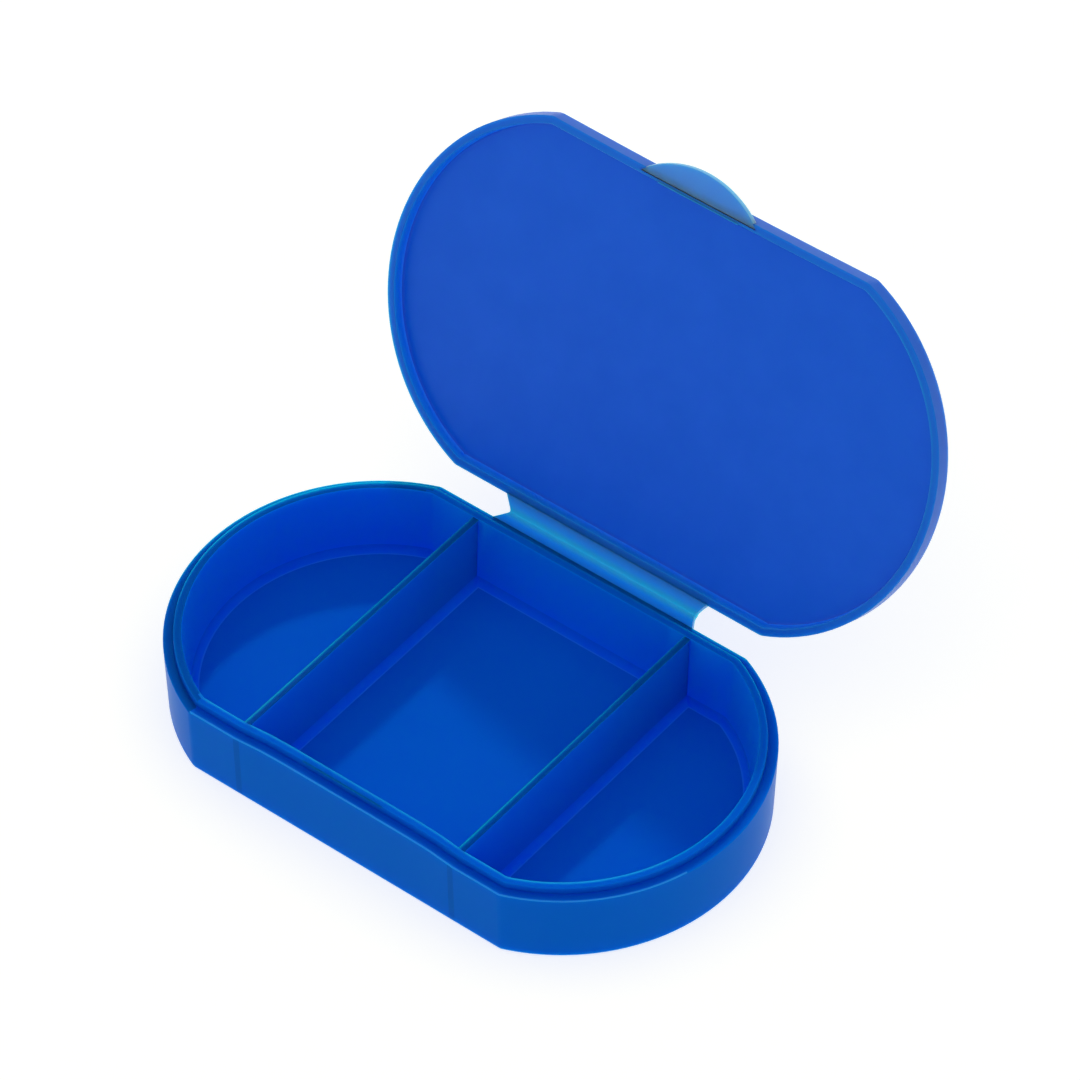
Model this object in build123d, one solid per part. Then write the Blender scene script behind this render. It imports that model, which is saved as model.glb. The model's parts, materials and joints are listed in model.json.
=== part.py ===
# Three-compartment pill box with a living-hinged lid, injection moulded in polypropylene.
# Millimetres. +Z is up, +X runs along the hinge, and the hinge is on the +Y side.
# The origin is the centre of the underside. The lid is modelled standing open, as it rests.
import os
from math import cos, radians, sin, sqrt
from build123d import *

# Outline: two straight sides joined by two arcs. The lid's ends stand out a little past the tray's.
LENGTH = 80.0
LID_LENGTH = 81.0
WIDTH = 48.2
STRAIGHT = 47.2

# Tray.
LEDGE_HEIGHT = 10.1
LIP_HEIGHT = 1.0
LEDGE_WIDTH = 1.3
LIP_WIDTH = 1.0
FLOOR_THICKNESS = 1.2
OUTER_DRAFT = 0.35
INNER_DRAFT = 0.8

# Dividers, wedge shaped so that they leave the mould.
DIVIDER_X = 16.3
DIVIDER_TOP = 0.85
DIVIDER_FOOT = 1.6
DIVIDER_DROP = 0.15

# Lid.
LID_THICKNESS = 2.5
SKIRT_DEPTH = 1.6
SKIRT_WIDTH = 1.05
SEAT_GAP = 0.08

# Thumb tab, a segment of a disc level with the lid's open side.
TAB_X = -1.3
TAB_REACH = 2.7
TAB_RADIUS = 12.7
TAB_THICKNESS = 0.8

# Snap: a ridge inside the lid's skirt drops below a bead outside the tray's lip.
SNAP_LENGTH = 12.0
RIDGE_HEIGHT = 0.5
RIDGE_PROUD = 0.15
RIDGE_LIFT = 0.1
BEAD_HEIGHT = 0.25
BEAD_PROUD = 0.08

# Living hinge: two tapered leaves and the thin film between them.
HINGE_GAP = 1.9
LEAF_ROOT = 30.8
LEAF_TIP = 28.5
LEAF_ROOT_THICKNESS = 1.0
LEAF_TIP_THICKNESS = 0.4
LEAF_SETBACK = 0.12
FILM_RADIUS = 0.22
FILM_CLEARANCE = 0.03
OPEN_ANGLE = 113.8

HALF_WIDTH = WIDTH / 2
HALF_STRAIGHT = STRAIGHT / 2
WALL_TOP = LEDGE_WIDTH + LIP_WIDTH
RIM_TOP = LEDGE_HEIGHT + LIP_HEIGHT
HINGE_Y = HALF_WIDTH + HINGE_GAP
HINGE_AXIS = Axis((0, HINGE_Y, LEDGE_HEIGHT), (1, 0, 0))
REGIONS = ("front", "back", "left", "right")


def corner_x(inset, length=LENGTH):
    """X of the corner between a straight side and an end arc, for an outline moved in by inset."""
    centre = ((length / 2) ** 2 - HALF_STRAIGHT**2 - HALF_WIDTH**2) / (length - STRAIGHT)
    radius = length / 2 - centre
    return centre + sqrt((radius - inset) ** 2 - (HALF_WIDTH - inset) ** 2)


def outline(inset, z, length=LENGTH):
    """The rounded outline moved in by inset, as a face at height z."""
    x = corner_x(inset, length)
    y = HALF_WIDTH - inset
    end = length / 2 - inset
    edges = [
        Edge.make_line((-x, -y, z), (x, -y, z)),
        Edge.make_three_point_arc((x, -y, z), (end, 0, z), (x, y, z)),
        Edge.make_line((x, y, z), (-x, y, z)),
        Edge.make_three_point_arc((-x, y, z), (-end, 0, z), (-x, -y, z)),
    ]
    return Face(Wire(edges))


def drafted(inset_low, z_low, inset_high, z_high, length=LENGTH):
    """A solid between two outlines, with the taper that lets it leave the mould."""
    low = outline(inset_low, z_low, length).outer_wire()
    high = outline(inset_high, z_high, length).outer_wire()
    return Solid.make_loft([low, high], True)


def outer_inset(z):
    """How far the tray's outer face lies inside the outline at height z."""
    return OUTER_DRAFT * (1 - z / LEDGE_HEIGHT)


def inner_inset(z):
    """How far the tray's inner face lies inside the outline at height z."""
    return WALL_TOP + INNER_DRAFT * (RIM_TOP - z) / (RIM_TOP - FLOOR_THICKNESS)


def cavity():
    """The hollow of the tray, from the floor to the top of the lip."""
    return drafted(inner_inset(FLOOR_THICKNESS), FLOOR_THICKNESS, inner_inset(RIM_TOP), RIM_TOP)


def region(name):
    """A tall block over one stretch of a rim: a long side between the corners, or an end."""
    tall = 4 * LEDGE_HEIGHT
    x = corner_x(WALL_TOP)
    if name in ("front", "back"):
        side = -1 if name == "front" else 1
        block = Box(2 * x, WIDTH, tall)
        return block.translate((0, side * WIDTH / 2, 0))
    side = -1 if name == "left" else 1
    block = Box(LID_LENGTH, 2 * WIDTH, tall)
    return block.translate((side * (x + LID_LENGTH / 2), 0, 0))


def base_floor():
    return drafted(outer_inset(0), 0, outer_inset(FLOOR_THICKNESS), FLOOR_THICKNESS)


def base_wall(name):
    shell = drafted(outer_inset(FLOOR_THICKNESS), FLOOR_THICKNESS, 0, LEDGE_HEIGHT)
    return (shell - cavity()) & region(name)


def rim_lip(name):
    lip = drafted(LEDGE_WIDTH, LEDGE_HEIGHT, LEDGE_WIDTH, RIM_TOP)
    return (lip - cavity()) & region(name)


def divider(side):
    """A thin wall across the tray, thicker at its foot."""
    top = RIM_TOP - DIVIDER_DROP
    profile = Polyline(
        (-DIVIDER_FOOT / 2, -HALF_WIDTH, FLOOR_THICKNESS),
        (DIVIDER_FOOT / 2, -HALF_WIDTH, FLOOR_THICKNESS),
        (DIVIDER_TOP / 2, -HALF_WIDTH, top),
        (-DIVIDER_TOP / 2, -HALF_WIDTH, top),
        close=True,
    )
    wedge = extrude(Face(Wire(profile.edges())), amount=WIDTH, dir=(0, 1, 0))
    return wedge.translate((side * DIVIDER_X, 0, 0)) & cavity()


def lip_snap_bead():
    """A low bead on the outside of the front lip, level with its top edge."""
    bead = Box(SNAP_LENGTH, BEAD_PROUD, BEAD_HEIGHT)
    y = -(HALF_WIDTH - LEDGE_WIDTH) - BEAD_PROUD / 2
    return bead.translate((TAB_X, y, RIM_TOP - BEAD_HEIGHT / 2))


def hinge_leaf(upward):
    """A tapered strap from the body's edge to the film, on the side of the parting plane given by upward."""
    near = LEDGE_HEIGHT + upward * LEAF_SETBACK
    root_y = HALF_WIDTH - OUTER_DRAFT
    section = Polyline(
        (0, root_y, near),
        (0, HINGE_Y, near),
        (0, HINGE_Y, near + upward * LEAF_TIP_THICKNESS),
        (0, root_y, near + upward * LEAF_ROOT_THICKNESS),
        close=True,
    )
    slab = extrude(Face(Wire(section.edges())), amount=LEAF_ROOT / 2, dir=(1, 0, 0), both=True)
    plan = Polyline(
        (-LEAF_ROOT / 2, HALF_WIDTH - 1, 0),
        (LEAF_ROOT / 2, HALF_WIDTH - 1, 0),
        (LEAF_ROOT / 2, HALF_WIDTH, 0),
        (LEAF_TIP / 2, HINGE_Y, 0),
        (-LEAF_TIP / 2, HINGE_Y, 0),
        (-LEAF_ROOT / 2, HALF_WIDTH, 0),
        close=True,
    )
    return slab & extrude(Face(Wire(plan.edges())), amount=2 * RIM_TOP, dir=(0, 0, 1))


def hinge_film(radius):
    """The thin flexing line of the hinge, round about the axis on which the lid turns."""
    rod = Cylinder(radius, LEAF_TIP - 0.1, rotation=(0, 90, 0))
    return rod.translate((0, HINGE_Y, LEDGE_HEIGHT))


def hinge_leaf_base():
    tray = drafted(outer_inset(0), 0, 0, LEDGE_HEIGHT)
    return hinge_leaf(-1) - tray - hinge_film(FILM_RADIUS)


def hinge_leaf_lid():
    room = hinge_film(FILM_RADIUS + FILM_CLEARANCE)
    return hinge_leaf(1) - drafted(0, LEDGE_HEIGHT, 0, LEDGE_HEIGHT + LID_THICKNESS, LID_LENGTH) - room


def lid_panel():
    low = LEDGE_HEIGHT + SKIRT_DEPTH
    return drafted(0, low, 0, LEDGE_HEIGHT + LID_THICKNESS, LID_LENGTH)


def lid_skirt(name):
    low = LEDGE_HEIGHT + SEAT_GAP
    high = LEDGE_HEIGHT + SKIRT_DEPTH
    outside = drafted(0, low, 0, high, LID_LENGTH)
    ring = outside - drafted(SKIRT_WIDTH, low, SKIRT_WIDTH, high, LID_LENGTH)
    return ring & region(name)


def lid_snap_ridge():
    """A low ridge inside the front of the skirt, just above its open edge."""
    ridge = Box(SNAP_LENGTH, RIDGE_PROUD, RIDGE_HEIGHT)
    y = -(HALF_WIDTH - SKIRT_WIDTH) + RIDGE_PROUD / 2
    z = LEDGE_HEIGHT + SEAT_GAP + RIDGE_LIFT + RIDGE_HEIGHT / 2
    return ridge.translate((TAB_X, y, z))


def thumb_tab():
    """A segment of a disc that stands out of the front edge, level with the skirt's open edge."""
    centre_y = -(HALF_WIDTH + TAB_REACH) + TAB_RADIUS
    disc = Cylinder(TAB_RADIUS, TAB_THICKNESS)
    z = LEDGE_HEIGHT + SEAT_GAP + TAB_THICKNESS / 2
    disc = disc.translate((TAB_X, centre_y, z))
    outside = Box(LENGTH, WIDTH, LID_THICKNESS * 4).translate((0, -HALF_WIDTH - WIDTH / 2, LEDGE_HEIGHT))
    return disc & outside


def opened(shape):
    """Swing a piece of the closed lid up and back to where it rests open."""
    return shape.rotate(HINGE_AXIS, -OPEN_ANGLE)


def single(shape, name):
    """The one solid of a sub-part."""
    solids = shape.solids()
    if len(solids) != 1:
        raise ValueError(f"{name} has {len(solids)} solids")
    return solids[0]


tray_parts = {"base_floor": base_floor()}
for stretch in REGIONS:
    tray_parts[f"base_wall_{stretch}"] = base_wall(stretch)
    tray_parts[f"rim_lip_{stretch}"] = rim_lip(stretch)
tray_parts["divider_left"] = divider(-1)
tray_parts["divider_right"] = divider(1)
tray_parts["lip_snap_bead"] = lip_snap_bead()
tray_parts["hinge_leaf_base"] = hinge_leaf_base()
tray_parts["hinge_film"] = hinge_film(FILM_RADIUS)

lid_parts = {"lid_panel": lid_panel()}
for stretch in REGIONS:
    lid_parts[f"lid_skirt_{stretch}"] = lid_skirt(stretch)
lid_parts["lid_snap_ridge"] = lid_snap_ridge()
lid_parts["thumb_tab"] = thumb_tab()
lid_parts["hinge_leaf_lid"] = hinge_leaf_lid()

os.makedirs("parts", exist_ok=True)
for node, shape in tray_parts.items():
    export_step(single(shape, node), f"parts/{node}.step")
for node, shape in lid_parts.items():
    export_step(opened(single(shape, node)), f"parts/{node}.step")
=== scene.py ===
import json
import math

import bmesh
import bpy
from mathutils import Matrix, Vector


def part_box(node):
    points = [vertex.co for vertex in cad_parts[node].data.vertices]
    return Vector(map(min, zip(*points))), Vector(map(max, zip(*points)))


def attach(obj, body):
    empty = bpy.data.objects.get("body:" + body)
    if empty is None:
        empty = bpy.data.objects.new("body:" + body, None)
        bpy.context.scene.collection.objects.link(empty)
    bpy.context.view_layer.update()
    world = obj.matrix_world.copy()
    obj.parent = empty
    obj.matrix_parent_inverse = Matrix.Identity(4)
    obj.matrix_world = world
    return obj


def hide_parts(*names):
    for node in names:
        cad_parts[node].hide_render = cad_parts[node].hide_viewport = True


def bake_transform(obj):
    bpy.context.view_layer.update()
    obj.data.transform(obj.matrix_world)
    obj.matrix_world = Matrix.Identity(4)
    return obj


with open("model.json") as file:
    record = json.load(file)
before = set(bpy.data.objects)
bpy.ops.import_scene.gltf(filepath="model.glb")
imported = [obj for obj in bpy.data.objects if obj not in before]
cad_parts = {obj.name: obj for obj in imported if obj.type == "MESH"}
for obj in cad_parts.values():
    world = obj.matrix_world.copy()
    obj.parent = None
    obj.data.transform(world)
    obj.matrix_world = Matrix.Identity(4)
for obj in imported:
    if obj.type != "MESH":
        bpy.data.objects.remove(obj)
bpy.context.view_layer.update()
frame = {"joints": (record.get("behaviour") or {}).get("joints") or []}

# TRAY
# The lower half of a pill box that is moulded in one shot: a flat floor, four walls, a stepped rim
# for the lid to sit on, and two wedge-shaped cross walls that make three compartments. It is clear
# polypropylene dyed blue, 1.2 mm thick at the floor and 2.3 mm at the rim. The faces here are opaque,
# so each has its own blue, and many of these blues hold painted light and shade: painted light for
# what reaches a face through the real plastic and for the rim in the shade of the lip and the lid,
# painted highlights along some edges, and painted shade on the outside wall behind the cross walls.

MM = 0.001
same_place = 0.001 * MM
half_length = -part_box("base_wall_left")[0].x
half_width = 24.1 * MM
half_straight = 23.6 * MM
ledge_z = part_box("base_wall_left")[1].z
rim_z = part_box("rim_lip_left")[1].z
floor_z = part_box("base_floor")[1].z
divider_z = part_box("divider_right")[1].z
divider_x = (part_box("divider_right")[0].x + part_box("divider_right")[1].x) / 2
ledge_width = 1.3 * MM
lip_width = 1.0 * MM
wall_top = ledge_width + lip_width
divider_top = 0.85 * MM
divider_draft = 0.375 * MM
lip_draft = 0.01 * MM
inner_draft = 0.8 * MM
outer_draft = 0.35 * MM
cove_radius = 0.8 * MM
cove_steps = 4
front_bow = 0.45 * MM
bow_squareness = 6
bow_step = 2.6 * MM
arc_centre = (half_length**2 - half_straight**2 - half_width**2) / (2 * (half_length - half_straight))
arc_radius = half_length - arc_centre
arc_steps = 48
smallest_compartment = (10 * MM) ** 2
edge_fillet = 0.17 * MM
# Widths of three pale lines of painted highlight: at the ledge's outer edge, the lip's inner edge and the
# floor's edge.
edge_highlight = 0.13 * MM
lip_highlight = 0.35 * MM
foot_highlight = 0.2 * MM

floor_blue = "#0262C4"
# Painted highlight: a pale line round the floor at the foot of the walls and cross walls.
foot_highlight_blue = "#2078DC"
# Painted light: the coves and the inner walls are lighter than the floor, for the light that comes through
# the walls.
cove_painted_light_blue = "#026CDE"
divider_blue = "#0266D2"
divider_top_blue = "#024890"
wall_painted_light_blue = "#0274EE"
# Painted light: the rim and the outside of the lip are painted lighter, filling the shade that the lip and
# the lid throw on them. The rim round the left end gets a deeper blue.
rim_painted_light_blue = "#025CC8"
left_end_deeper_blue = "#024EA0"
lip_side_painted_light_blue = "#0256BC"
# Painted highlights: pale lines along the lip's inner top edge and along the ledge's outer top edge, at the
# front.
lip_highlight_blue = "#1068CC"
edge_highlight_blue = "#2880D8"
outside_blue = "#025CC0"
# Painted shade: a darker band on the outside wall where a cross wall stands behind it.
behind_divider_shade_blue = "#0255B0"


def srgb(code):
    """An sRGB hex colour as the linear colour that shaders take."""
    parts = [int(code[place:place + 2], 16) / 255 for place in (1, 3, 5)]
    return (*[p / 12.92 if p <= 0.04045 else ((p + 0.055) / 1.055) ** 2.4 for p in parts], 1)


def new_moulding():
    """An empty bmesh whose faces can be given a blue, painted light and shade included."""
    bm = bmesh.new()
    bm.faces.layers.float_color.new("dye_and_painted_light")
    return bm


def dye_and_painted_light_faces(bm, faces, colour):
    """Gives faces the blue that the plastic shows there, which for many faces holds painted light and
    shade.
    """
    for face in faces:
        face[bm.faces.layers.float_color["dye_and_painted_light"]] = srgb(colour)


def moulding_outline(bm, z, stations, colour, centre=arc_centre, radius=arc_radius):
    """One upward face with the box's outline, two straight sides and two end arcs, at height z.
    Stations are the x places at which the straight sides get a point."""
    corner = bm.verts.new((half_straight, -half_width, z))
    sweep = 2 * math.asin(half_width / radius)
    bmesh.ops.spin(bm, geom=[corner], cent=(centre, 0, z), axis=(0, 0, 1), angle=sweep, steps=arc_steps)
    bmesh.ops.mirror(bm, geom=bm.verts[:] + bm.edges[:], merge_dist=-1, axis="X")
    for side in (-1, 1):
        bm.edges.new([v for v in bm.verts if abs(v.co.y - side * half_width) < same_place])
    for x in stations:
        bmesh.ops.bisect_plane(bm, geom=bm.verts[:] + bm.edges[:], plane_co=(x, 0, 0), plane_no=(1, 0, 0))
    return faced(bm, bm.edges[:], 1, colour)


def faced(bm, edges, up, colour):
    """Fills a level loop of edges with one face that looks up, or down where up is -1."""
    face = bmesh.ops.contextual_create(bm, geom=edges)["faces"][0]
    dye_and_painted_light_faces(bm, [face], colour)
    face.normal_update()
    if face.normal.z * up < 0:
        bmesh.ops.reverse_faces(bm, faces=[face])
    return face


def step_in(bm, face, inset, rise, colour):
    """Rings a face: moves its edge inwards by inset and lifts it out by rise, or sinks it."""
    ring = bmesh.ops.inset_region(
        bm, faces=[face], use_boundary=True, use_even_offset=True, thickness=inset, depth=rise
    )["faces"]
    dye_and_painted_light_faces(bm, ring, colour)
    return ring


def finish_mesh(bm, name, fillet):
    """Makes the bmesh an object, and rounds each edge by the size that fillet gives it."""
    bmesh.ops.recalc_face_normals(bm, faces=bm.faces[:])
    weights = bm.edges.layers.float.new("bevel_weight_edge")
    sizes = [fillet(edge) for edge in bm.edges]
    for edge, size in zip(bm.edges, sizes):
        edge[weights] = size / max(sizes)
        edge.smooth = size > 0 or turn(edge) < 30
    mesh = bpy.data.meshes.new(name)
    bm.to_mesh(mesh)
    bm.free()
    mesh.shade_smooth()
    piece = bpy.data.objects.new(name, mesh)
    bpy.context.scene.collection.objects.link(piece)
    bevel = piece.modifiers.new("moulded radii", "BEVEL")
    bevel.limit_method = "WEIGHT"
    bevel.width = max(sizes)
    bevel.segments = 4
    bevel.profile = 0.5
    bevel.use_clamp_overlap = False
    flat_faces = piece.modifiers.new("flat faces stay flat", "WEIGHTED_NORMAL")
    flat_faces.mode = "FACE_AREA"
    flat_faces.weight = 90
    flat_faces.keep_sharp = True
    return piece


def level(edge):
    """Whether an edge lies level."""
    return abs(edge.verts[0].co.z - edge.verts[1].co.z) < same_place


def at_height(edge, z):
    """Whether an edge lies level at height z."""
    return all(abs(v.co.z - z) < same_place for v in edge.verts)


def turn(edge):
    """The angle in degrees between an edge's two faces."""
    return math.degrees(edge.calc_face_angle(0))


def along_y(edge):
    """Whether an edge runs across the box."""
    return abs(edge.verts[0].co.x - edge.verts[1].co.x) < same_place


def at_hinge_side(edge):
    """Whether an edge lies on the straight back side, where the hinge strap joins."""
    return edge.verts[0].co.y >= half_width - 0.01 * MM


def tray_fillet(edge):
    """The moulded radius at an edge of the tray."""
    if turn(edge) < 10:
        return 0
    if at_height(edge, 0):
        return 0.5 * MM
    if level(edge) and edge.verts[0].co.z < floor_z + cove_radius + same_place:
        return 0
    if at_height(edge, divider_z):
        return 0.12 * MM if along_y(edge) else 0
    if at_height(edge, ledge_z):
        return 0.06 * MM if at_hinge_side(edge) else 0.15 * MM
    if at_height(edge, rim_z):
        return 0.12 * MM
    beside = abs(abs(edge.verts[0].co.x) - divider_x) < 2 * MM
    return 0.1 * MM if beside else 0.4 * MM


def at_left_end(faces):
    """The faces round the left end, which are given a deeper blue."""
    return [face for face in faces if face.calc_center_median().x < -half_straight]


def at_front(faces):
    """The faces along the front and the front of the right end, where the edges get a painted highlight."""
    middles = [(face, face.calc_center_median()) for face in faces]
    return [face for face, middle in middles if middle.y < -half_width / 3 and middle.x > -half_straight]


def beside_divider(face):
    """Whether a face is a side of a cross wall."""
    return abs(abs(face.calc_center_median().x) - divider_x) < divider_top


divider_edges = [side * divider_x + half * divider_top / 2 for side in (-1, 1) for half in (-1, 1)]
bow_places = [step * bow_step for step in range(-5, 6)]

bm = new_moulding()
inside = moulding_outline(bm, ledge_z, divider_edges + bow_places, divider_top_blue)
# The ledge gets painted light, with a deeper blue round the left end, and a painted highlight along its
# outer edge at the front.
for width in (edge_fillet, edge_highlight):
    ring = step_in(bm, inside, width, 0, rim_painted_light_blue)
    dye_and_painted_light_faces(bm, at_left_end(ring), left_end_deeper_blue)
    dye_and_painted_light_faces(bm, at_front(ring), edge_highlight_blue)
ring = step_in(bm, inside, ledge_width - edge_fillet - edge_highlight, 0, rim_painted_light_blue)
dye_and_painted_light_faces(bm, at_left_end(ring), left_end_deeper_blue)
# The outside of the lip gets painted light.
step_in(bm, inside, 0, rim_z - ledge_z, lip_side_painted_light_blue)
# The lip's top gets painted light, with a deeper blue round the left end, and a painted highlight along its
# inner edge at the front.
ring = step_in(bm, inside, lip_width - lip_highlight, 0, rim_painted_light_blue)
dye_and_painted_light_faces(bm, at_left_end(ring), left_end_deeper_blue)
ring = step_in(bm, inside, lip_highlight, 0, rim_painted_light_blue)
dye_and_painted_light_faces(bm, at_left_end(ring), left_end_deeper_blue)
dye_and_painted_light_faces(bm, at_front(ring), lip_highlight_blue)
# The inner walls get painted light.
step_in(bm, inside, lip_draft, divider_z - rim_z, wall_painted_light_blue)
for x in divider_edges:
    top = [v for v in bm.verts if abs(v.co.z - divider_z) < same_place]
    ends = [v for v in top if abs(v.co.x - x) < same_place]
    bmesh.ops.connect_verts(bm, verts=ends)
compartments = [
    face
    for face in bm.faces
    if all(at_height(edge, divider_z) for edge in face.edges) and face.calc_area() > smallest_compartment
]
for face in compartments:
    ring = step_in(bm, face, divider_draft, floor_z + cove_radius - divider_z, wall_painted_light_blue)
    divider_sides = [side for side in ring if abs(side.normal.x) > 0.95 and beside_divider(side)]
    dye_and_painted_light_faces(bm, divider_sides, divider_blue)
    middle = face.calc_center_median()
    side = 0 if abs(middle.x) < divider_x else math.copysign(1, middle.x)
    shrink = (arc_radius - wall_top - inner_draft) / (arc_radius - wall_top - divider_draft)
    bmesh.ops.scale(
        bm,
        verts=face.verts[:],
        vec=(shrink if side else 1, shrink, 1),
        space=Matrix.Translation((-side * arc_centre, 0, 0)),
    )
    # The coves carry the walls' painted light down to the floor.
    for step in range(cove_steps):
        before = math.pi / 2 * step / cove_steps
        after = math.pi / 2 * (step + 1) / cove_steps
        inwards = cove_radius * (math.cos(before) - math.cos(after))
        downwards = cove_radius * (math.sin(after) - math.sin(before))
        step_in(bm, face, inwards, -downwards, cove_painted_light_blue)
    # A painted highlight lines the floor's edge.
    step_in(bm, face, foot_highlight, 0, foot_highlight_blue)
    dye_and_painted_light_faces(bm, [face], floor_blue)
underside = faced(bm, [edge for edge in bm.edges if edge.is_boundary], -1, outside_blue)
ring = step_in(bm, underside, outer_draft, ledge_z, outside_blue)
# Painted shade on the outside wall behind each cross wall.
dye_and_painted_light_faces(bm, [face for face in ring if beside_divider(face)], behind_divider_shade_blue)


def bowed(x, z):
    """How far the front wall has drawn in as it cooled: most at its top, between the cross walls."""
    if abs(x) > divider_x:
        return 0
    height = max(0, (z - floor_z) / (rim_z - floor_z))
    return front_bow * (1 - (x / divider_x) ** bow_squareness) * height


for v in bm.verts:
    if v.co.y < wall_top * 2 - half_width:
        v.co.y += bowed(v.co.x, v.co.z)
tray = finish_mesh(bm, "tray_moulding", tray_fillet)
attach(tray, "tray")
stretches = ("front", "back", "left", "right")
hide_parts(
    "base_floor",
    "divider_left",
    "divider_right",
    *[f"base_wall_{stretch}" for stretch in stretches],
    *[f"rim_lip_{stretch}" for stretch in stretches],
)


def add_node(tree, kind, sockets, **settings):
    """Adds a node to a material. A socket is given its value, or the output that feeds it."""
    node = tree.nodes.new(kind)
    for name, value in settings.items():
        setattr(node, name, value)
    for socket, value in sockets.items():
        if isinstance(value, bpy.types.NodeSocket):
            tree.links.new(value, node.inputs[socket])
        else:
            node.inputs[socket].default_value = value
    return node.outputs


cloud_size = 6 * MM
cloud_blue = "#2C70DC"
grain_size = 1.1 * MM
grain_height = 0.03 * MM
light_depth = 2.0 * MM


def dyed_polypropylene(name, roughness, gloss, tint, clouds):
    """Clear polypropylene with a little blue colourant. Light goes a few millimetres into it, blue
    furthest, so thin walls glow and edges stay soft. The mould is polished, which leaves a soft gloss, and
    the colourant is mixed a little unevenly, which leaves faint clouds. Its blue is read from the faces,
    with the painted light and shade that many of them carry."""
    material = bpy.data.materials.new(name)
    material.use_nodes = True
    tree = material.node_tree
    tree.nodes.clear()
    place = add_node(tree, "ShaderNodeTexCoord", {})["Object"]
    dye_and_painted_light = add_node(tree, "ShaderNodeAttribute", {}, attribute_name="dye_and_painted_light")["Color"]
    cloud = add_node(
        tree,
        "ShaderNodeTexNoise",
        {"Vector": place, "Scale": 1 / cloud_size, "Detail": 4.0, "Roughness": 0.6},
    )
    cloudiness = add_node(
        tree,
        "ShaderNodeMapRange",
        {"Value": cloud["Fac"], "From Min": 0.35, "From Max": 0.7, "To Max": clouds},
    )
    colour = add_node(
        tree,
        "ShaderNodeMix",
        {"Factor": cloudiness["Result"], "A": dye_and_painted_light, "B": srgb(cloud_blue)},
        data_type="RGBA",
    )
    grain = add_node(
        tree,
        "ShaderNodeTexNoise",
        {"Vector": place, "Scale": 1 / grain_size, "Detail": 3.0, "Roughness": 0.55},
    )
    bump = add_node(
        tree, "ShaderNodeBump", {"Height": grain["Fac"], "Strength": 0.06, "Distance": grain_height}
    )
    shader = add_node(
        tree,
        "ShaderNodeBsdfPrincipled",
        {
            "Base Color": colour["Result"],
            "Roughness": roughness,
            "IOR": 1.49,
            "Specular IOR Level": gloss,
            "Specular Tint": tint,
            "Subsurface Weight": 1.0,
            "Subsurface Radius": (0.3, 1.5, 2.0),
            "Subsurface Scale": light_depth,
            "Normal": bump["Normal"],
        },
    )
    add_node(tree, "ShaderNodeOutputMaterial", {"Surface": shader["BSDF"]})
    return material


tray.data.materials.append(
    dyed_polypropylene(
        "tray polypropylene", roughness=0.28, gloss=0.01, tint=(0.2, 0.6, 1, 1), clouds=0.03
    )
)

# LID
# A shallow cap, moulded with the tray and 0.5 mm longer than it at each end. Its panel is 0.9 mm thick
# inside a skirt that stands round its edge and sits on the tray's ledge when the box is shut.

joint = frame["joints"][0]
fold = Vector(joint["pos_m"])
seat_gap = 0.08 * MM
skirt_depth = 1.6 * MM
lid_thickness = 2.5 * MM
lid_open_z = ledge_z + seat_gap
panel_z = ledge_z + skirt_depth
lid_top_z = ledge_z + lid_thickness
skirt_width = 1.05 * MM
skirt_draft = 0.05 * MM
free_edge_bow = 0.2 * MM
lid_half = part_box("lid_skirt_right")[1].x
lid_arc_centre = (lid_half**2 - half_straight**2 - half_width**2) / (2 * (lid_half - half_straight))

panel_blue = "#0C54BE"
# Painted light: the skirt's land and inner side are lighter than the panel, for the light that comes
# through the lid.
skirt_land_painted_light_blue = "#0A68C6"
skirt_inner_painted_light_blue = "#1884E4"
lid_outside_blue = "#0C60C0"


def swing_open(piece):
    """Turns a piece of the shut lid about the fold to where the lid rests."""
    shut = math.radians(joint["range_deg"][0])
    turn_open = Matrix.Rotation(-shut, 3, Vector(joint["axis"]))
    bm = bmesh.new()
    bm.from_mesh(piece.data)
    bmesh.ops.rotate(bm, verts=bm.verts[:], cent=fold, matrix=turn_open)
    bm.to_mesh(piece.data)
    bm.free()


def lid_fillet(edge):
    """The moulded radius at an edge of the shut lid."""
    if turn(edge) < 10:
        return 0
    if at_height(edge, lid_top_z):
        return 0.4 * MM
    if at_height(edge, panel_z):
        return 0.5 * MM
    if at_height(edge, lid_open_z):
        return 0.04 * MM if at_hinge_side(edge) else 0.12 * MM
    return 0.4 * MM


bm = new_moulding()
inside = moulding_outline(bm, lid_open_z, bow_places, panel_blue, lid_arc_centre, lid_half - lid_arc_centre)
bmesh.ops.reverse_faces(bm, faces=[inside])
# The skirt's land and inner side get painted light.
step_in(bm, inside, skirt_width, 0, skirt_land_painted_light_blue)
step_in(bm, inside, skirt_draft, lid_open_z - panel_z, skirt_inner_painted_light_blue)
outside = faced(bm, [edge for edge in bm.edges if edge.is_boundary], 1, panel_blue)
step_in(bm, outside, 0, lid_top_z - lid_open_z, lid_outside_blue)
for v in bm.verts:
    if v.co.y < -half_width / 2:
        v.co.y += free_edge_bow * max(0, 1 - (v.co.x / half_straight) ** 2)
lid = finish_mesh(bm, "lid_moulding", lid_fillet)
swing_open(lid)
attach(lid, "lid")
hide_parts("lid_panel", *[f"lid_skirt_{stretch}" for stretch in stretches])
lid.data.materials.append(
    dyed_polypropylene(
        "lid polypropylene", roughness=0.35, gloss=0.4, tint=(0.3, 0.6, 1, 1), clouds=0.12
    )
)

# SNAP
# A bead along the outside of the front lip, and a ridge inside the lid's skirt that clicks below it.
# Both are moulded with their halves, 12 mm long and barely proud of the wall.

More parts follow.
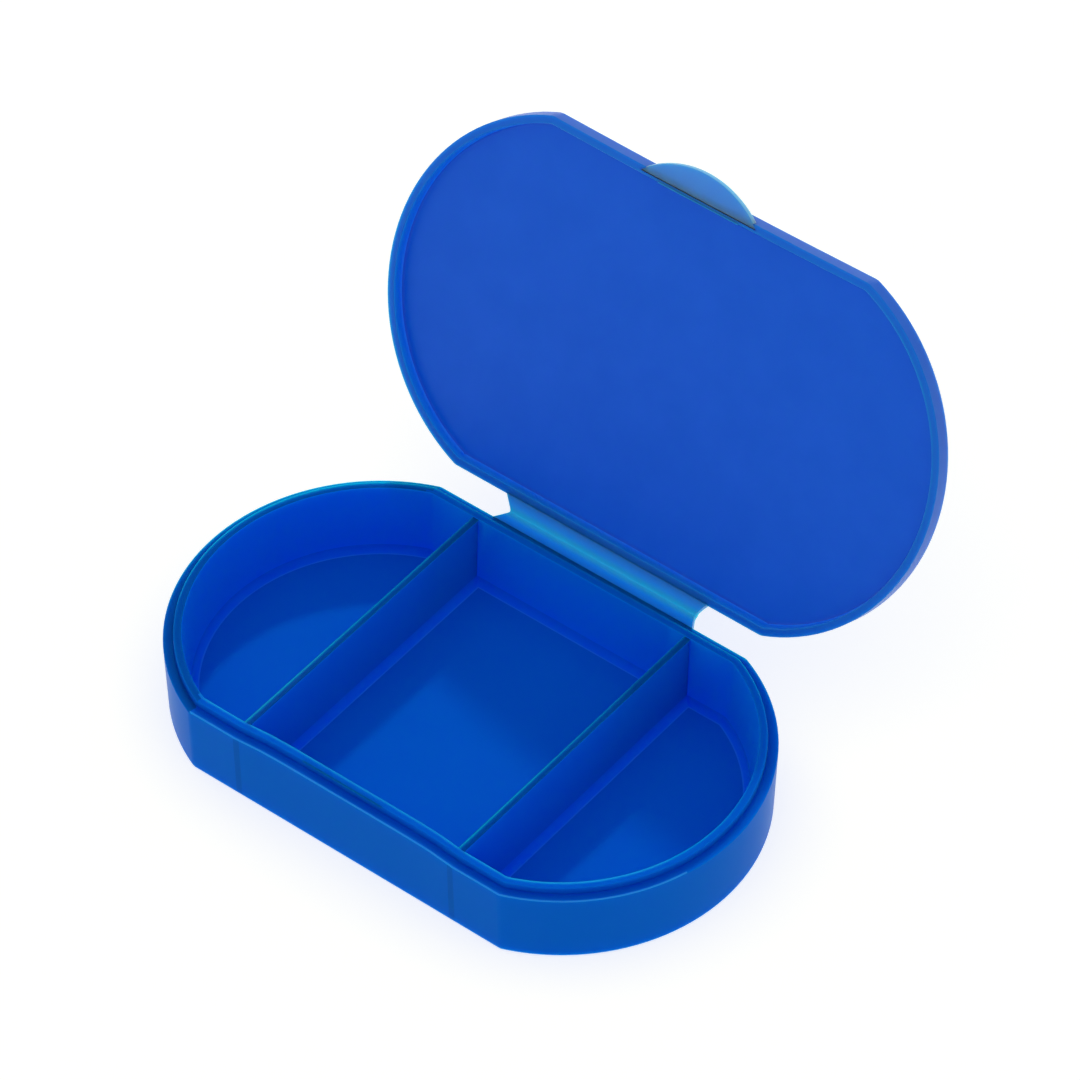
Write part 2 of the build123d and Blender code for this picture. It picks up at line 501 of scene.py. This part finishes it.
tab_x = -1.3 * MM
snap_length = 12 * MM
snap_embed = 0.3 * MM
bead_proud = 0.08 * MM
bead_height = 0.25 * MM
bead_drop = 0.02 * MM
bead_radius = 0.04 * MM
ridge_proud = 0.15 * MM
ridge_lift = 0.1 * MM
ridge_height = 0.5 * MM
ridge_radius = 0.08 * MM


def snap_bar(name, low, high, radius, colour):
    """A straight bar with rounded edges, between its lowest and its highest corner."""
    bm = new_moulding()
    bmesh.ops.create_cube(bm, size=1)
    dye_and_painted_light_faces(bm, bm.faces, colour)
    bmesh.ops.scale(bm, verts=bm.verts[:], vec=high - low)
    bmesh.ops.translate(bm, verts=bm.verts[:], vec=(low + high) / 2)
    return finish_mesh(bm, name, lambda edge: radius)


lip_y = ledge_width + front_bow - half_width
bead = snap_bar(
    "lip_bead",
    Vector((tab_x - snap_length / 2, lip_y - bead_proud, rim_z - bead_height)),
    Vector((tab_x + snap_length / 2, lip_y + snap_embed, rim_z - bead_drop)),
    bead_radius,
    # The bead takes the painted light of the lip's outside.
    lip_side_painted_light_blue,
)
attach(bead, "tray")
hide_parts("lip_snap_bead")
bead.data.materials.append(tray.data.materials[0])

skirt_y = skirt_width + free_edge_bow - half_width
ridge = snap_bar(
    "skirt_ridge",
    Vector((tab_x - snap_length / 2, skirt_y - snap_embed, lid_open_z + ridge_lift)),
    Vector((tab_x + snap_length / 2, skirt_y + ridge_proud, lid_open_z + ridge_lift + ridge_height)),
    ridge_radius,
    # The ridge takes the painted light of the skirt's inner side.
    skirt_inner_painted_light_blue,
)
swing_open(ridge)
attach(ridge, "lid")
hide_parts("lid_snap_ridge")
ridge.data.materials.append(lid.data.materials[0])

# THUMB TAB
# A thin segment of a disc, 0.8 mm thick, that stands out of the lid's free edge level with the open
# side of its skirt. A thumbnail lifts the lid by it.

tab_radius = 12.7 * MM
tab_reach = 2.7 * MM
tab_thickness = 0.8 * MM
tab_embed = 0.75 * MM
tab_proud = 0.02 * MM
tab_centre_y = tab_radius - half_width - tab_reach
# Painted light: the tab is painted paler than the lid, and its rim paler still, a painted sheen.
tab_rim_sheen_blue = "#7CA8D8"
tab_face_painted_light_blue = "#4884CA"

bm = new_moulding()
bmesh.ops.create_circle(bm, cap_ends=True, segments=160, radius=tab_radius)
bmesh.ops.translate(bm, verts=bm.verts[:], vec=(tab_x, tab_centre_y, lid_open_z - tab_proud))
bmesh.ops.bisect_plane(
    bm,
    geom=bm.verts[:] + bm.edges[:] + bm.faces[:],
    plane_co=(0, tab_embed - half_width, 0),
    plane_no=(0, 1, 0),
    clear_outer=True,
)
raised = bmesh.ops.extrude_face_region(bm, geom=bm.faces[:], use_keep_orig=True)["geom"]
top = [v for v in raised if isinstance(v, bmesh.types.BMVert)]
bmesh.ops.translate(bm, verts=top, vec=(0, 0, tab_thickness))
# The tab gets its painted light, with the painted sheen on its rim.
dye_and_painted_light_faces(bm, bm.faces, tab_rim_sheen_blue)
dye_and_painted_light_faces(bm, [face for face in bm.faces if len(face.edges) > 4], tab_face_painted_light_blue)


def tab_fillet(edge):
    """The rounding of the tab's rim. The straight end runs into the skirt and stays square."""
    at_skirt = all(v.co.y > tab_embed - half_width - same_place for v in edge.verts)
    return 0.2 * MM if level(edge) and turn(edge) > 30 and not at_skirt else 0


tab = finish_mesh(bm, "thumb_tab_plate", tab_fillet)
swing_open(tab)
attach(tab, "lid")
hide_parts("thumb_tab")
tab.data.materials.append(
    dyed_polypropylene(
        "tab polypropylene", roughness=0.3, gloss=0.5, tint=(0.6, 0.8, 1, 1), clouds=0.2
    )
)

# HINGE
# A strap of the same plastic joins the two halves. It tapers from 1 mm at each edge to a film 0.4 mm
# thick at the fold, where it bends. Flexing has stretched the film, which leaves it paler.

leaf_setback = 0.12 * MM
leaf_rise = 0.09 * MM
leaf_root = 1.0 * MM
leaf_tip = 0.4 * MM
strap_root = 30.8 * MM
strap_tip = 28.5 * MM
strap_cuts = 20
leaf_cuts = 9
hinge_gap = fold.y - half_width
root_y = half_width - outer_draft
root_overlap = 0.1 * MM
fold_steps = 8
pale_reach = 0.35 * MM
pale_fade = 0.6 * MM
# Painted light: each leaf gets its own blue for the light on it, the lid's leaf the paler. The film's paler
# blue is its own, from stretching.
base_leaf_painted_light_blue = srgb("#1C80F0")
lid_leaf_painted_light_blue = srgb("#3888E0")
stretched_blue = srgb("#3884B4")

bend = math.radians(180 + joint["range_deg"][0])
bm = bmesh.new()
near = fold.z - leaf_setback
corners = [
    (-strap_tip / 2, root_y, near - leaf_root),
    (-strap_tip / 2, root_y, near + leaf_rise),
    (-strap_tip / 2, fold.y, near),
    (-strap_tip / 2, fold.y, near - leaf_tip),
]
base_leaf = bm.faces.new([bm.verts.new(corner) for corner in corners])
fold_edge = next(
    edge for edge in base_leaf.edges if all(abs(v.co.y - fold.y) < same_place for v in edge.verts)
)
spun = bmesh.ops.spin(
    bm,
    geom=[fold_edge] + fold_edge.verts[:],
    cent=fold,
    axis=(1, 0, 0),
    angle=bend,
    steps=fold_steps,
)["geom_last"]
lid_edge = next(item for item in spun if isinstance(item, bmesh.types.BMEdge))
lid_way = Vector((0, math.cos(bend), math.sin(bend)))
lid_out = Vector((0, math.sin(bend), -math.cos(bend)))
grown = bmesh.ops.extrude_edge_only(bm, edges=[lid_edge])["geom"]
lid_root = [v for v in grown if isinstance(v, bmesh.types.BMVert)]
for v in lid_root:
    v.co += lid_way * (hinge_gap + root_overlap)
    outer = (v.co - fold).dot(lid_out) > leaf_setback + leaf_tip / 2
    v.co += lid_out * (leaf_root - leaf_tip if outer else -leaf_rise)
across = bmesh.ops.extrude_face_region(bm, geom=bm.faces[:], use_keep_orig=True)["geom"]
far_side = [v for v in across if isinstance(v, bmesh.types.BMVert)]
bmesh.ops.translate(bm, verts=far_side, vec=(strap_tip, 0, 0))
long_edges = [edge for edge in bm.edges if abs(edge.verts[0].co.x - edge.verts[1].co.x) > strap_tip / 2]
bmesh.ops.subdivide_edges(bm, edges=long_edges, cuts=strap_cuts, use_grid_fill=True)
leaf_edges = [edge for edge in bm.edges if edge.calc_length() > hinge_gap * 0.9 and along_y(edge)]
bmesh.ops.subdivide_edges(bm, edges=leaf_edges, cuts=leaf_cuts, use_grid_fill=True)
for v in bm.verts:
    away = (Vector((0, v.co.y, v.co.z)) - Vector((0, fold.y, fold.z))).length
    flare = (strap_root / strap_tip - 1) * min(1, max(0, away - leaf_setback) / hinge_gap)
    v.co.x *= 1 + flare
# Each point's blue: painted light on the two leaves, and the film's own paler blue where it was stretched.
dye_and_painted_light = bm.verts.layers.float_color.new("dye_and_painted_light")
for v in bm.verts:
    along = Vector((0, v.co.y - fold.y, v.co.z - fold.z))
    pale = max(0, 1 - max(0, along.length - pale_reach) / pale_fade)
    leaf = lid_leaf_painted_light_blue if along.dot(lid_way) > 0.2 * MM else base_leaf_painted_light_blue
    v[dye_and_painted_light] = [pale * p + (1 - pale) * q for p, q in zip(stretched_blue, leaf)]
bmesh.ops.recalc_face_normals(bm, faces=bm.faces[:])
mesh = bpy.data.meshes.new("hinge_strap")
bm.to_mesh(mesh)
bm.free()
mesh.shade_smooth()
mesh.set_sharp_from_angle(angle=math.radians(40))
strap = bpy.data.objects.new("hinge_strap", mesh)
bpy.context.scene.collection.objects.link(strap)
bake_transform(strap)
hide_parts("hinge_leaf_base", "hinge_film", "hinge_leaf_lid")
strap.data.materials.append(
    dyed_polypropylene(
        "hinge polypropylene", roughness=0.3, gloss=0.4, tint=(0.3, 0.8, 1, 1), clouds=0.1
    )
)

# FLOOR AND STUDIO
# A flat sheet of matt white paper, under soft white light from all sides. One small bright lamp high at
# the back left lights the box only, so it throws no hard shadow on the paper. The paper also glows
# evenly, in a very pale blue that with its cream colour adds up to white.

floor_half = 3.0
paper_cream = "#D9D68C"
paper_glow = (0.77, 0.78, 1.0, 1)
lamp_side = Vector((-0.62, 0.78, 0.94))
camera_azimuth = math.radians(38.137)
camera_elevation = math.radians(45.837)
camera_distance = 0.86306
camera_aim = Vector((-0.66, 14.70, 22.80)) * MM

bm = bmesh.new()
bmesh.ops.create_grid(bm, x_segments=1, y_segments=1, size=floor_half)
mesh = bpy.data.meshes.new("floor")
bm.to_mesh(mesh)
bm.free()
floor = bpy.data.objects.new("floor", mesh)
bpy.context.scene.collection.objects.link(floor)
paper = bpy.data.materials.new("white paper")
paper.use_nodes = True
paper_shader = paper.node_tree.nodes["Principled BSDF"]
paper_shader.inputs["Base Color"].default_value = srgb(paper_cream)
paper_shader.inputs["Roughness"].default_value = 0.9
paper_shader.inputs["Specular IOR Level"].default_value = 0.0
paper_shader.inputs["Emission Color"].default_value = paper_glow
paper_shader.inputs["Emission Strength"].default_value = 0.845
floor.data.materials.append(paper)

world = bpy.data.worlds.new("studio")
world.use_nodes = True
world.node_tree.nodes["Background"].inputs["Color"].default_value = (1, 1, 1, 1)
world.node_tree.nodes["Background"].inputs["Strength"].default_value = 0.6
bpy.context.scene.world = world

lit_by_key = bpy.data.collections.new("lit by key lamp")
for piece in (tray, lid, bead, ridge, tab, strap):
    lit_by_key.objects.link(piece)
lamp = bpy.data.lights.new("key lamp", "SUN")
lamp.energy = 1.0
lamp.angle = math.radians(4)
lamp_object = bpy.data.objects.new("key lamp", lamp)
lamp_object.rotation_euler = lamp_side.to_track_quat("Z", "Y").to_euler()
lamp_object.visible_glossy = False
lamp_object.light_linking.receiver_collection = lit_by_key
bpy.context.scene.collection.objects.link(lamp_object)

camera = bpy.data.cameras.new("camera")
camera.lens = 240.15
camera.sensor_width = 36
camera.clip_start = 0.01
camera.clip_end = 20
level_reach = math.cos(camera_elevation)
back = Vector(
    (
        math.sin(camera_azimuth) * level_reach,
        -math.cos(camera_azimuth) * level_reach,
        math.sin(camera_elevation),
    )
)
camera_object = bpy.data.objects.new("camera", camera)
camera_object.location = camera_aim + back * camera_distance
camera_object.rotation_euler = back.to_track_quat("Z", "Y").to_euler()
bpy.context.scene.collection.objects.link(camera_object)
bpy.context.scene.camera = camera_object
bpy.context.scene.view_settings.view_transform = "Standard"
